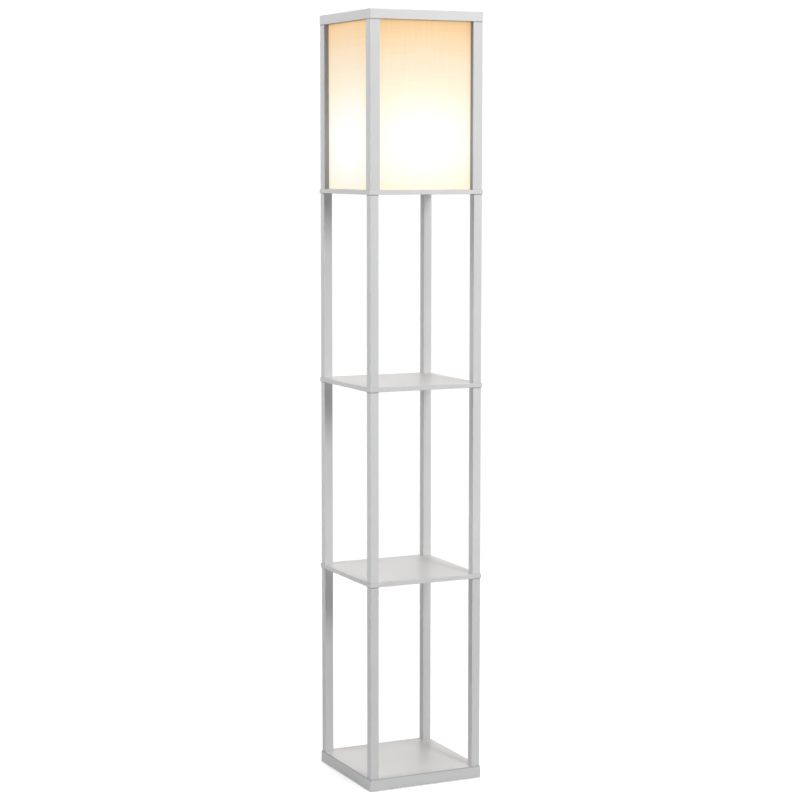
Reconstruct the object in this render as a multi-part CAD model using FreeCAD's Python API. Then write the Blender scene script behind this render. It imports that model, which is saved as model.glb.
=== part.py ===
import FreeCAD, Part
import math
import os

Vector = FreeCAD.Vector

# A square shelf lamp. Origin: centre of the footprint on the floor. +Z is up and -Y is the front.
# All sizes are in millimetres.

# Tower of boards and posts
plan = 256.0                # width and depth of the base and of every board
board_overhang = 1.75       # boards stand this far proud of the posts
post_side = 18.5            # square section of the posts in the open bays
lower_bay_height = 403.0    # post lengths in the three open bays
middle_bay_height = 393.0
upper_bay_height = 390.0
shelf_thickness = 9.0
edge_round = 0.8            # eased edges of posts, boards and rails

# Base
pad_height = 1.5
pad_radius = 9.0
pad_inset = 36.0            # from the side faces of the base to the pad centres
base_height = 25.0          # rails together with the top panel
base_panel_thickness = 2.5
base_panel_setback = 0.6    # leaves the fine seam line round the top of the base
base_rail_width = 40.0

# Shade tier and top frame
shade_height = 341.0        # post length in the shade tier
shade_post_side = 21.5      # square section of the shade posts, flush outside with those below
top_rail_height = 19.5
top_overhang = 0.5          # the top frame stands this far proud of the posts
sheet_thickness = 0.8       # shade fabric on its stiff backing
hem_width = 14.0            # folded double at each side edge
groove_depth = 4.0          # panel grooves in the shade posts
top_groove_depth = 3.0      # panel groove in the underside of the top frame

# Fasteners
thread_radius = 3.0         # M6 studs and bolts
insert_radius = 4.5
insert_length = 13.0
thread_reach = 12.0         # how far a stud or bolt runs into a post
bolt_head_radius = 5.0
bolt_head_height = 6.0
washer_radius = 7.0
washer_thickness = 1.2
dowel_radius = 4.0
dowel_reach = 14.0          # into the post and into the top frame

# Lampholder
foot_thickness = 3.0
foot_rim = 4.3              # foot left outside the wood screws' heads
foot_bevel = 1.2
shell_radius = 21.0
shell_wall = 3.0
shell_height = 37.0
shell_lip = 2.0             # thickness of the inward lip at the mouth
boss_height = 0.6           # flat seat for the bush's nut, proud of the shell
mouth_radius = 15.0
screw_shell_radius = 13.8   # inside of the threaded brass sleeve
screw_shell_wall = 0.5
screw_shell_height = 22.0
screw_shell_flange = 16.0
screw_shell_flange_thickness = 0.8
contact_width = 6.0
contact_gauge = 0.6
contact_rise = 2.2
wood_screw_wall_gap = 1.3   # between the shell and each wood screw's head
wood_screw_radius = 1.5
wood_screw_reach = 7.0
wood_screw_head_radius = 3.2
wood_screw_head_height = 2.0
wood_screw_head_bevel = 0.8

# Turn switch in the side of the lampholder, facing the front
shaft_radius = 2.0
shaft_play = 0.15           # radial running clearance
shaft_inner_end = 6.0       # from the holder's axis
cam_side = 5.0
cam_length = 5.0
cam_play = 0.6
bush_radius = 4.0
bush_stand_out = 6.0        # bush length outside the shell
nut_corner_radius = 5.2
nut_thickness = 3.0
knob_length = 13.0
knob_rim_gap = 3.0          # between the holder's foot and the knob
knob_floor_gap = 1.5        # between the knob and the deck
knob_flutes = 8
knob_flute_radius = 1.6
knob_bevel = 1.0
knob_skin = 2.0             # left in front of the shaft's end

# Cord passage up through the deck into the lampholder
grommet_bore = 4.0
grommet_wall = 1.7
grommet_flange_radius = 8.0
grommet_flange_thickness = 1.0

# Bulb
bulb_length = 108.0
globe_radius = 30.0
globe_wall = 1.0
globe_turn = 35.0           # degrees below the equator where the neck's curve takes over
neck_radius = 13.0
cap_radius = 13.2
cap_height = 26.0           # from the end contact to the neck
cap_cone_radius = 9.0
cap_cone_start = 4.0
cap_cone_end = 8.0
insulator_radius = 8.0
end_contact_radius = 4.5
end_contact_height = 1.5
bulb_tip_gap = 0.3          # to the holder's contact

# Clearances
bore_gap = 0.1              # round a fastener or dowel in its bore
seat_gap = 0.3              # round a loose-fitted piece

# Levels
rail_bottom = pad_height
base_top = rail_bottom + base_height
rail_top = base_top - base_panel_thickness
lower_shelf_bottom = base_top + lower_bay_height
lower_shelf_top = lower_shelf_bottom + shelf_thickness
middle_shelf_bottom = lower_shelf_top + middle_bay_height
middle_shelf_top = middle_shelf_bottom + shelf_thickness
deck_bottom = middle_shelf_top + upper_bay_height
deck_top = deck_bottom + shelf_thickness
frame_bottom = deck_top + shade_height
frame_top = frame_bottom + top_rail_height

# Plan positions
half_plan = plan / 2
post_face = half_plan - board_overhang
post_centre = post_face - post_side / 2
shade_inner = post_face - shade_post_side
panel_line = post_face - shade_post_side / 2    # middle plane of a shade panel
corners = {
    "front_left": (-1, -1),
    "front_right": (1, -1),
    "back_left": (-1, 1),
    "back_right": (1, 1),
}
side_turns = {"front": 0, "right": 90, "back": 180, "left": 270}

# Lampholder and bulb
wood_screw_circle = shell_radius + wood_screw_wall_gap + wood_screw_head_radius
foot_radius = wood_screw_circle + wood_screw_head_radius + foot_rim
foot_top = deck_top + foot_thickness
shaft_level = foot_top + nut_corner_radius + seat_gap
block_top = 2 * shaft_level - foot_top
shell_top = foot_top + shell_height
knob_radius = shaft_level - deck_top - knob_floor_gap
knob_start = foot_radius + knob_rim_gap
shell_bore = shell_radius - shell_wall
bulb_tip = block_top + contact_rise + bulb_tip_gap
cap_top = bulb_tip + cap_height
globe_centre = bulb_tip + bulb_length - globe_radius


def box(low, high):
    """A box between two opposite corners."""
    size = Vector(*high) - Vector(*low)
    return Part.makeBox(size.x, size.y, size.z, Vector(*low))


def upright(radius, bottom, top, centre=(0, 0)):
    """A cylinder standing between two levels."""
    return Part.makeCylinder(radius, top - bottom, Vector(centre[0], centre[1], bottom))


def frontward(radius, start, end, level):
    """A cylinder on the switch axis, between two distances in front of the holder's axis."""
    return Part.makeCylinder(radius, end - start, Vector(0, -start, level), Vector(0, -1, 0))


def square_slab(half_side, bottom, top):
    return box((-half_side, -half_side, bottom), (half_side, half_side, top))


def turned(points):
    """A solid of revolution about Z from a closed outline of (radius, level) points."""
    outline = Part.makePolygon([Vector(r, 0, z) for r, z in points + points[:1]])
    return Part.Face(outline).revolve(Vector(0, 0, 0), Vector(0, 0, 1), 360)


def ease(solid, edges):
    return solid.makeFillet(edge_round, edges)


def upright_edges(solid):
    """The edges that run along Z."""
    return [e for e in solid.Edges if abs(e.tangentAt(e.FirstParameter).z) > 0.99]


def at_corners(make):
    """The same piece at the four post centres, as one group of separate solids."""
    return Part.makeCompound([make((sx * post_centre, sy * post_centre)) for sx, sy in corners.values()])


def drill_corners(solid, radius, bottom, top):
    for sx, sy in corners.values():
        solid = solid.cut(upright(radius, bottom, top, (sx * post_centre, sy * post_centre)))
    return solid


def turn_to_side(solid, side):
    """Turns a piece made for the front to another side of the lamp."""
    moved = solid.copy()
    moved.rotate(Vector(0, 0, 0), Vector(0, 0, 1), side_turns[side])
    return moved


def mitre_quarter(ring, half_side, bottom, top, side):
    """The part of a square ring that belongs to one side, cut off at both mitres."""
    points = [(0, 0), (-half_side, -half_side), (half_side, -half_side), (0, 0)]
    line = Part.makePolygon([Vector(x, y, bottom) for x, y in points])
    wedge = Part.Face(line).extrude(Vector(0, 0, top - bottom))
    return ring.common(turn_to_side(wedge, side))


# Base
def make_base_ring():
    """The four base rails as one ring, with a counterbored bolt hole at each corner."""
    slab = square_slab(half_plan, rail_bottom, rail_top)
    slab = ease(slab, slab.Edges)
    hollow = square_slab(half_plan - base_rail_width, rail_bottom, rail_top)
    ring = slab.cut(hollow)
    ring = drill_corners(ring, thread_radius + seat_gap, rail_bottom, rail_top)
    recess_top = rail_bottom + bolt_head_height + washer_thickness
    return drill_corners(ring, washer_radius + seat_gap, rail_bottom, recess_top)


def make_base_panel():
    panel = square_slab(half_plan - base_panel_setback, rail_top, base_top)
    panel = ease(panel, upright_edges(panel))
    return drill_corners(panel, thread_radius + seat_gap, rail_top, base_top)


def make_base_bolt(centre):
    head_top = rail_bottom + bolt_head_height
    head = upright(bolt_head_radius, rail_bottom, head_top, centre)
    return head.fuse(upright(thread_radius, head_top, base_top + thread_reach, centre)).removeSplitter()


def make_base_washer(centre):
    bottom = rail_bottom + bolt_head_height
    disc = upright(washer_radius, bottom, bottom + washer_thickness, centre)
    return disc.cut(upright(thread_radius + bore_gap, bottom, bottom + washer_thickness, centre))


def make_foot_pads():
    along = half_plan - pad_inset
    across = half_plan - base_rail_width / 2
    places = [(sx * along, sy * across) for sx, sy in corners.values()]
    return Part.makeCompound([upright(pad_radius, 0, pad_height, place) for place in places])


# Posts, boards and what joins them
def make_post(corner, side, bottom, top, bore_radius_top, bore_depth_top):
    """One square post with an insert bore below and a bore for the next joint above."""
    sx, sy = corners[corner]
    x, y = sx * post_centre, sy * post_centre
    x_low, x_high = sorted((sx * post_face, sx * (post_face - side)))
    y_low, y_high = sorted((sy * post_face, sy * (post_face - side)))
    post = box((x_low, y_low, bottom), (x_high, y_high, top))
    post = ease(post, upright_edges(post))
    post = post.cut(upright(insert_radius + bore_gap, bottom, bottom + insert_length + bore_gap, (x, y)))
    return post.cut(upright(bore_radius_top + bore_gap, top - bore_depth_top - bore_gap, top, (x, y)))


def cut_panel_grooves(post, corner):
    """Two grooves, one in each inward face, that hold the side edges of two shade panels."""
    sx, sy = corners[corner]
    half_groove = sheet_thickness + seat_gap
    depth = (shade_inner, shade_inner + groove_depth)
    width = (panel_line - half_groove, panel_line + half_groove)
    for x_ends, y_ends in ((depth, width), (width, depth)):
        x_low, x_high = sorted(sx * end for end in x_ends)
        y_low, y_high = sorted(sy * end for end in y_ends)
        post = post.cut(box((x_low, y_low, deck_top), (x_high, y_high, frame_bottom)))
    return post


def make_insert(centre, bottom):
    sleeve = upright(insert_radius, bottom, bottom + insert_length, centre)
    return sleeve.cut(upright(thread_radius + bore_gap, bottom, bottom + insert_length, centre))


def make_inserts(bottoms):
    """Threaded inserts at the given levels in all four posts of a tier."""
    groups = [at_corners(lambda centre, level=level: make_insert(centre, level)) for level in bottoms]
    return Part.makeCompound([solid for group in groups for solid in group.Solids])


def make_shelf(bottom):
    shelf = square_slab(half_plan, bottom, bottom + shelf_thickness)
    shelf = ease(shelf, shelf.Edges)
    return drill_corners(shelf, thread_radius + seat_gap, bottom, bottom + shelf_thickness)


def make_studs(bottom):
    low = bottom - thread_reach
    high = bottom + shelf_thickness + thread_reach
    return at_corners(lambda centre: upright(thread_radius, low, high, centre))


def make_deck():
    """The board under the shade, with pilot holes for the lampholder and the cord passage."""
    deck = make_shelf(deck_bottom)
    for sx in (-1, 1):
        centre = (sx * wood_screw_circle, 0)
        pilot_bottom = deck_top - wood_screw_reach - bore_gap
        deck = deck.cut(upright(wood_screw_radius + bore_gap, pilot_bottom, deck_top, centre))
    return deck.cut(upright(grommet_bore + grommet_wall + bore_gap, deck_bottom, deck_top))


# Top frame and shade
def make_top_ring():
    """The four top rails as one ring, grooved underneath for the panels and bored for dowels."""
    outer = post_face + top_overhang
    slab = square_slab(outer, frame_bottom, frame_top)
    slab = ease(slab, slab.Edges)
    ring = slab.cut(square_slab(shade_inner, frame_bottom, frame_top))
    half_groove = sheet_thickness + seat_gap
    groove_top = frame_bottom + top_groove_depth
    groove = square_slab(panel_line + half_groove, frame_bottom, groove_top)
    groove = groove.cut(square_slab(panel_line - half_groove, frame_bottom, groove_top))
    ring = ring.cut(groove)
    return drill_corners(ring, dowel_radius + bore_gap, frame_bottom, frame_bottom + dowel_reach + bore_gap)


def make_dowel(centre):
    return upright(dowel_radius, frame_bottom - dowel_reach, frame_bottom + dowel_reach, centre)


def make_shade_panel(side):
    """A fabric sheet, folded double along both side edges, standing on the deck."""
    edge = shade_inner + groove_depth - seat_gap
    outside = -(panel_line + sheet_thickness)
    inside = -(panel_line - sheet_thickness)
    middle = -panel_line
    outline = [
        (-edge, outside),
        (edge, outside),
        (edge, inside),
        (edge - hem_width, inside),
        (edge - hem_width, middle),
        (hem_width - edge, middle),
        (hem_width - edge, inside),
        (-edge, inside),
    ]
    line = Part.makePolygon([Vector(x, y, deck_top) for x, y in outline + outline[:1]])
    height = shade_height + top_groove_depth - seat_gap
    panel = Part.Face(line).extrude(Vector(0, 0, height))
    return turn_to_side(panel, side)


# Lampholder
def make_holder_foot():
    """A flange with a bevelled rim, two screw holes and the cord's way up through the middle."""
    foot = turned([
        (grommet_bore, deck_top),
        (foot_radius, deck_top),
        (foot_radius, foot_top - foot_bevel),
        (foot_radius - foot_bevel, foot_top),
        (grommet_bore, foot_top),
    ])
    for sx in (-1, 1):
        hole = upright(wood_screw_radius + seat_gap, deck_top, foot_top, (sx * wood_screw_circle, 0))
        foot = foot.cut(hole)
    return foot


def make_holder_shell():
    """A cup turned upside down, with an inward lip at the mouth and a flat boss under the nut."""
    shell = turned([
        (shell_bore, foot_top),
        (shell_radius, foot_top),
        (shell_radius, shell_top - shell_lip),
        (shell_radius - shell_lip, shell_top),
        (mouth_radius, shell_top),
        (mouth_radius, shell_top - shell_lip),
        (shell_bore, shell_top - shell_lip),
    ])
    boss_root = shell_radius - shell_wall / 2
    boss_face = shell_radius + boss_height
    shell = shell.fuse(frontward(nut_corner_radius, boss_root, boss_face, shaft_level)).removeSplitter()
    return shell.cut(frontward(bush_radius + bore_gap, 0, boss_face, shaft_level))


def make_switch_block():
    """The moulded block round the shaft's inner end, split later at the shaft's level."""
    block = upright(shell_bore - seat_gap, foot_top, block_top)
    block = block.cut(frontward(shaft_radius + shaft_play, shaft_inner_end, shell_bore, shaft_level))
    pocket_radius = cam_side * math.sqrt(0.5) + cam_play
    pocket_start = shaft_inner_end - cam_play
    pocket_end = shaft_inner_end + cam_length + cam_play
    block = block.cut(frontward(pocket_radius, pocket_start, pocket_end, shaft_level))
    return block.cut(upright(grommet_bore, foot_top, shaft_level))


def halve_switch_block(lower):
    block = make_switch_block()
    low, high = (foot_top, shaft_level) if lower else (shaft_level, block_top)
    return block.common(upright(shell_bore, low, high))


def make_screw_shell():
    outer = screw_shell_radius + screw_shell_wall
    flange_top = block_top + screw_shell_flange_thickness
    return turned([
        (screw_shell_radius, block_top),
        (screw_shell_flange, block_top),
        (screw_shell_flange, flange_top),
        (outer, flange_top),
        (outer, block_top + screw_shell_height),
        (screw_shell_radius, block_top + screw_shell_height),
    ])


def make_centre_contact():
    """A leaf spring: flat where it is riveted down, rising to a level tongue under the bulb."""
    top = block_top + contact_rise
    tongue = contact_width / 2
    fixed_end = screw_shell_radius - tongue
    profile = [
        (fixed_end, block_top),
        (fixed_end, block_top + contact_gauge),
        (tongue + contact_gauge, block_top + contact_gauge),
        (tongue, top),
        (-tongue, top),
        (-tongue, top - contact_gauge),
        (tongue - contact_gauge, top - contact_gauge),
        (tongue, block_top),
    ]
    line = Part.makePolygon([Vector(-tongue, y, z) for y, z in profile + profile[:1]])
    return Part.Face(line).extrude(Vector(contact_width, 0, 0))


def make_wood_screw(centre):
    head_top = foot_top + wood_screw_head_height
    screw = turned([
        (0, deck_top - wood_screw_reach),
        (wood_screw_radius, deck_top - wood_screw_reach),
        (wood_screw_radius, foot_top),
        (wood_screw_head_radius, foot_top),
        (wood_screw_head_radius, head_top - wood_screw_head_bevel),
        (wood_screw_head_radius - wood_screw_head_bevel, head_top),
        (0, head_top),
    ])
    screw.translate(Vector(centre[0], centre[1], 0))
    return screw


def make_holder_screws():
    return Part.makeCompound([make_wood_screw((sx * wood_screw_circle, 0)) for sx in (-1, 1)])


# Turn switch
def make_switch_bush():
    """A threaded collar through the shell's wall, bored for the shaft."""
    start = shell_bore
    end = shell_radius + bush_stand_out
    bush = frontward(bush_radius, start, end, shaft_level)
    return bush.cut(frontward(shaft_radius + shaft_play, start, end, shaft_level))


def make_bush_nut():
    start = shell_radius + boss_height + bore_gap
    points = []
    for corner in range(7):
        angle = math.radians(60 * corner)
        across = nut_corner_radius * math.cos(angle)
        up = nut_corner_radius * math.sin(angle)
        points.append(Vector(across, -start, shaft_level + up))
    nut = Part.Face(Part.makePolygon(points)).extrude(Vector(0, -nut_thickness, 0))
    return nut.cut(frontward(bush_radius + bore_gap, start, start + nut_thickness, shaft_level))


def make_switch_shaft():
    """A round shaft with a square cam on its inner end."""
    end = knob_start + knob_length - knob_skin
    shaft = frontward(shaft_radius, shaft_inner_end + cam_length, end, shaft_level)
    half = cam_side / 2
    cam_start = -shaft_inner_end
    cam = box((-half, cam_start - cam_length, shaft_level - half), (half, cam_start, shaft_level + half))
    return shaft.fuse(cam).removeSplitter()


def make_switch_knob():
    """A round knob with finger flutes and a blind bore for the shaft."""
    end = knob_start + knob_length
    knob = frontward(knob_radius, knob_start, end, shaft_level)
    nose = [e for e in knob.Edges if e.BoundBox.YMax < knob_bevel - end]
    knob = knob.makeChamfer(knob_bevel, nose)
    for flute in range(knob_flutes):
        angle = 2 * math.pi * flute / knob_flutes
        across = knob_radius * math.cos(angle)
        up = knob_radius * math.sin(angle)
        place = Vector(across, -knob_start, shaft_level + up)
        knob = knob.cut(Part.makeCylinder(knob_flute_radius, knob_length, place, Vector(0, -1, 0)))
    return knob.cut(frontward(shaft_radius + bore_gap, knob_start, end - knob_skin, shaft_level))


# Cord passage
def make_grommet():
    """A turned rubber bush: a flange under the deck and a sleeve up to the lampholder's foot."""
    body = grommet_bore + grommet_wall
    return turned([
        (grommet_bore, deck_bottom - grommet_flange_thickness),
        (grommet_flange_radius, deck_bottom - grommet_flange_thickness),
        (grommet_flange_radius, deck_bottom),
        (body, deck_bottom),
        (body, deck_top),
        (grommet_bore, deck_top),
    ])


# Bulb
def globe_solid(inset):
    """The globe's outer form, or its hollow when inset by the wall."""
    radius = globe_radius - inset
    turn = math.radians(globe_turn)
    crown = Vector(0, 0, globe_centre + radius)
    equator = Vector(radius, 0, globe_centre)
    shoulder = Vector(radius * math.cos(turn), 0, globe_centre - radius * math.sin(turn))
    neck = Vector(neck_radius - inset, 0, cap_top)
    chord = neck - shoulder
    heading = Vector(-math.sin(turn), 0, -math.cos(turn))
    bend = heading.getAngle(chord)
    outward = Vector(-chord.z, 0, chord.x).normalize()
    sag = chord.Length / 2 * math.tan(bend / 2)
    waist = shoulder + chord * 0.5 - outward * sag
    edges = [
        Part.Arc(crown, equator, shoulder).toShape(),
        Part.Arc(shoulder, waist, neck).toShape(),
        Part.makeLine(neck, Vector(0, 0, cap_top)),
        Part.makeLine(Vector(0, 0, cap_top), crown),
    ]
    return Part.Face(Part.Wire(edges)).revolve(Vector(0, 0, 0), Vector(0, 0, 1), 360)


def make_bulb_globe():
    return globe_solid(0).cut(globe_solid(globe_wall))


def make_bulb_cap():
    return turned([
        (0, bulb_tip + cap_cone_start),
        (cap_cone_radius, bulb_tip + cap_cone_start),
        (cap_radius, bulb_tip + cap_cone_end),
        (cap_radius, cap_top),
        (0, cap_top),
    ])


def make_bulb_insulator():
    return turned([
        (0, bulb_tip + end_contact_height),
        (end_contact_radius, bulb_tip + end_contact_height),
        (insulator_radius, bulb_tip + cap_cone_start),
        (0, bulb_tip + cap_cone_start),
    ])


def make_bulb_contact():
    return upright(end_contact_radius, bulb_tip, bulb_tip + end_contact_height)


def make_tiers(parts):
    """Sixteen posts with their inserts, tier by tier."""
    tiers = {
        "lower": (base_top, lower_shelf_bottom),
        "middle": (lower_shelf_top, middle_shelf_bottom),
        "upper": (middle_shelf_top, deck_bottom),
    }
    for tier, (bottom, top) in tiers.items():
        for corner in corners:
            post = make_post(corner, post_side, bottom, top, insert_radius, insert_length)
            parts[f"{tier}_post_{corner}"] = post
        parts[f"{tier}_post_inserts"] = make_inserts([bottom, top - insert_length])
    for corner in corners:
        post = make_post(corner, shade_post_side, deck_top, frame_bottom, dowel_radius, dowel_reach)
        parts[f"shade_post_{corner}"] = cut_panel_grooves(post, corner)
    parts["shade_post_inserts"] = make_inserts([deck_top])


def make_all():
    parts = {}
    base_ring = make_base_ring()
    top_ring = make_top_ring()
    for side in side_turns:
        parts[f"base_rail_{side}"] = mitre_quarter(base_ring, half_plan, rail_bottom, rail_top, side)
        parts[f"top_rail_{side}"] = mitre_quarter(top_ring, half_plan, frame_bottom, frame_top, side)
        parts[f"shade_panel_{side}"] = make_shade_panel(side)
    parts["base_top_panel"] = make_base_panel()
    parts["base_bolts"] = at_corners(make_base_bolt)
    parts["base_washers"] = at_corners(make_base_washer)
    parts["foot_pads"] = make_foot_pads()
    make_tiers(parts)
    parts["lower_shelf"] = make_shelf(lower_shelf_bottom)
    parts["middle_shelf"] = make_shelf(middle_shelf_bottom)
    parts["lamp_deck"] = make_deck()
    parts["lower_shelf_studs"] = make_studs(lower_shelf_bottom)
    parts["middle_shelf_studs"] = make_studs(middle_shelf_bottom)
    parts["deck_studs"] = make_studs(deck_bottom)
    parts["top_dowels"] = at_corners(make_dowel)
    parts["holder_foot"] = make_holder_foot()
    parts["holder_shell"] = make_holder_shell()
    parts["switch_base"] = halve_switch_block(lower=True)
    parts["terminal_plate"] = halve_switch_block(lower=False)
    parts["screw_shell"] = make_screw_shell()
    parts["centre_contact"] = make_centre_contact()
    parts["holder_screws"] = make_holder_screws()
    parts["switch_bush"] = make_switch_bush()
    parts["bush_nut"] = make_bush_nut()
    parts["switch_shaft"] = make_switch_shaft()
    parts["switch_knob"] = make_switch_knob()
    parts["cord_grommet"] = make_grommet()
    parts["bulb_globe"] = make_bulb_globe()
    parts["bulb_cap"] = make_bulb_cap()
    parts["bulb_insulator"] = make_bulb_insulator()
    parts["bulb_contact"] = make_bulb_contact()
    return parts


os.makedirs("parts", exist_ok=True)
for name, shape in make_all().items():
    shape.exportStep(f"parts/{name}.step")
    print(f"{name}: {len(shape.Solids)} solid(s), {shape.Volume / 1000:.2f} cm3, valid {shape.isValid()}")
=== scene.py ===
# %% [markdown]
# A square shelf lamp with a lit fabric shade
# The tower of posts and boards, the lampholder and the bulb arrive as a finished frame of rigid
# pieces, in metres, with the floor at height zero and the front towards -Y. This lesson dresses
# them: it hangs the shade cloths, cuts the threads, mixes a finish for every surface and lights
# the whole. The frame is never moved or reshaped, so each new piece is built where the frame says.

# %% Load the frame
import math

import bmesh
import bpy
from mathutils import Matrix, Vector


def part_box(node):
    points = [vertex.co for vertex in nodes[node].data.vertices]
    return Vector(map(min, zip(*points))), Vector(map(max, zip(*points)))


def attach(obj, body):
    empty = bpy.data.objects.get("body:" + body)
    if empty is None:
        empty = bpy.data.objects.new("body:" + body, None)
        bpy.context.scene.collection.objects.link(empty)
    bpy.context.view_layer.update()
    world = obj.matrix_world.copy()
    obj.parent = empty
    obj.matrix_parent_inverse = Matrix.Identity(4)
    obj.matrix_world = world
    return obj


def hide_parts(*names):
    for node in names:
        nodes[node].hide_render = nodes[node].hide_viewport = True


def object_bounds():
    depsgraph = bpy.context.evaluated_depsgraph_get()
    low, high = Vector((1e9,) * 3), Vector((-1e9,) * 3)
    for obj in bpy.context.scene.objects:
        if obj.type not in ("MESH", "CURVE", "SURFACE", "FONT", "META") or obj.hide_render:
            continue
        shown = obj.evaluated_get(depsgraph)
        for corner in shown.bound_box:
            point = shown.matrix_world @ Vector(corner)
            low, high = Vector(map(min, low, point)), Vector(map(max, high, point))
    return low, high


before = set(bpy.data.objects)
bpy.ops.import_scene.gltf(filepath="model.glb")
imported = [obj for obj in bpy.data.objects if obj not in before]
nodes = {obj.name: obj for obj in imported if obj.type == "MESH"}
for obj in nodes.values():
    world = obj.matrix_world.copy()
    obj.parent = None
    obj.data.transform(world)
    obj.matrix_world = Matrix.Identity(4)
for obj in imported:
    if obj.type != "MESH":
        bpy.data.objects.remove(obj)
cad_low, cad_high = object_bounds()
scene = bpy.context.scene
print(f"{len(nodes)} pieces in a box {[round(size, 3) for size in cad_high - cad_low]} m")

# %% [markdown]
# The camera
# A picture of a box with straight edges tells where it was taken from: the edges run to vanishing
# points, and those give the lens and the place. Pointing a camera at the lamp by eye would come
# close, but setting the place and the angles that fit the edges keeps every board where it belongs.

# %% Set up the camera
camera_place = Vector((-1.9351, -4.0771, 1.3007))
camera_yaw = math.radians(25.388)      # to the right of straight ahead, +Y
camera_pitch = math.radians(6.355)     # downwards
camera_roll = math.radians(0.039)
image_side = 800                       # pixels
focal_pixels = 2157.3
sensor_width = 36.0                    # millimetres

camera_data = bpy.data.cameras.new("camera")
camera_data.sensor_width = sensor_width
camera_data.lens = focal_pixels / image_side * sensor_width
camera = bpy.data.objects.new("camera", camera_data)
scene.collection.objects.link(camera)
aim = Matrix.Rotation(-camera_yaw, 4, "Z") @ Matrix.Rotation(math.pi / 2 - camera_pitch, 4, "X")
camera.matrix_world = Matrix.Translation(camera_place) @ aim @ Matrix.Rotation(camera_roll, 4, "Z")
scene.camera = camera
scene.view_settings.view_transform = "Standard"
print(f"lens {camera_data.lens:.1f} mm, {camera_place.length:.2f} m from the lamp's foot")

# %% [markdown]
# Tools for shader networks
# A finish is a small network of shader nodes. Writing out every node and link by hand soon hides
# the idea behind it, so a few helpers add a node, set its values and join it in one line. They take
# a plain number or another node's socket alike, so that a network reads like a sum.


# %% Add, set and join nodes
def plug(tree, socket, value):
    """Joins another node's socket to this one, or sets its value."""
    if isinstance(value, bpy.types.NodeSocket):
        tree.links.new(value, socket)
    else:
        socket.default_value = value


def add_node(tree, kind, values=None, **settings):
    """Adds a shader node; settings are its properties, values its sockets by name or number."""
    node = tree.nodes.new(kind)
    for name, value in settings.items():
        setattr(node, name, value)
    for socket, value in (values or {}).items():
        plug(tree, node.inputs[socket], value)
    return node


def calculate(tree, operation, *values):
    """A Math node on one to three numbers or sockets; gives its result."""
    return add_node(tree, "ShaderNodeMath", dict(enumerate(values)), operation=operation).outputs[0]


def grade(tree, value, start, end, first=0.0, last=1.0, **settings):
    """Turns a value that runs from start to end into one that runs from first to last."""
    return add_node(tree, "ShaderNodeMapRange", {
        "Value": value, "From Min": start, "From Max": end, "To Min": first, "To Max": last,
    }, **settings).outputs[0]


node_tools = (plug, add_node, calculate, grade)
print("node tools:", ", ".join(tool.__name__ for tool in node_tools))

# %% [markdown]
# Shared effect: cloudiness
# No made surface is one even colour. Film on a board, moulded plastic and plated metal all drift a
# little in tone and in gloss over a few centimetres, with fine specks on top. Painting that by hand
# would need a picture; two noises of different scale do it everywhere and repeat nowhere. Several
# finishes use it, so it is a node group: built once, then placed with its own values in each.

# %% Build the cloudiness group
mix_factor, mix_first, mix_second, mix_result = 0, 6, 7, 2     # a colour Mix node's sockets, by place
noise_low = 0.35           # most of a noise lies between these two values
noise_high = 0.65
cloud_share = 0.75         # the rest of the tone comes from the specks


def blend_colours(tree, factor, first, second):
    """Goes from the first colour to the second as the factor goes from 0 to 1."""
    values = {mix_factor: factor, mix_first: first, mix_second: second}
    return add_node(tree, "ShaderNodeMix", values, data_type="RGBA").outputs[mix_result]


def noise(tree, place, scale=1.0, detail=1.0, roughness=0.5):
    """A soft random pattern of values between 0 and 1."""
    return add_node(tree, "ShaderNodeTexNoise", {
        "Vector": place, "Scale": scale, "Detail": detail, "Roughness": roughness}).outputs["Fac"]


def new_group(name, inputs, outputs):
    """An empty node group; inputs and outputs are (name, kind of socket, start value)."""
    group = bpy.data.node_groups.new(name, "ShaderNodeTree")
    for direction, sockets in (("INPUT", inputs), ("OUTPUT", outputs)):
        for label, kind, start in sockets:
            socket = group.interface.new_socket(label, in_out=direction, socket_type=f"NodeSocket{kind}")
            if start is not None:
                socket.default_value = start
    given = group.nodes.new("NodeGroupInput").outputs
    result = group.nodes.new("NodeGroupOutput").inputs
    return group, given, result


cloudiness, given, result = new_group(
    "cloudiness",
    [
        ("Place", "Vector", None),
        ("Cloud scale", "Float", 9.0),
        ("Speck scale", "Float", 700.0),
        ("Light", "Color", (0.8, 0.8, 0.8, 1)),
        ("Dark", "Color", (0.7, 0.7, 0.7, 1)),
        ("Smooth", "Float", 0.3),
        ("Rough", "Float", 0.4),
    ],
    [("Colour", "Color", None), ("Roughness", "Float", None), ("Relief", "Float", None)],
)
clouds = noise(cloudiness, given["Place"], given["Cloud scale"], detail=3.0, roughness=0.55)
specks = noise(cloudiness, given["Place"], given["Speck scale"], detail=2.0, roughness=0.6)
drift = calculate(cloudiness, "MULTIPLY", clouds, cloud_share)
drift = calculate(cloudiness, "MULTIPLY_ADD", specks, 1 - cloud_share, drift)
lightness = grade(cloudiness, drift, noise_low, noise_high)
gloss = grade(cloudiness, drift, noise_low, noise_high, given["Smooth"], given["Rough"])
plug(cloudiness, result["Colour"], blend_colours(cloudiness, lightness, given["Dark"], given["Light"]))
plug(cloudiness, result["Roughness"], gloss)
plug(cloudiness, result["Relief"], specks)
print("cloudiness gives", [socket.name for socket in result if socket.name])

# %% [markdown]
# Shared effect: edge bands and mitres
# Boards are faced with foil on top and below, and a thin strip of another, slightly cooler foil is
# glued along their edges. Where the two meet there is a hairline, and another runs down each
# diagonal where rails are mitred. Strips could be modelled, but they would be thinner than a
# fingernail; masks on the distance to the edge and to the diagonal do it for every board.

# %% Build the edge band group
band_thickness = 0.0008
hairline_width = 0.0004


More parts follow.
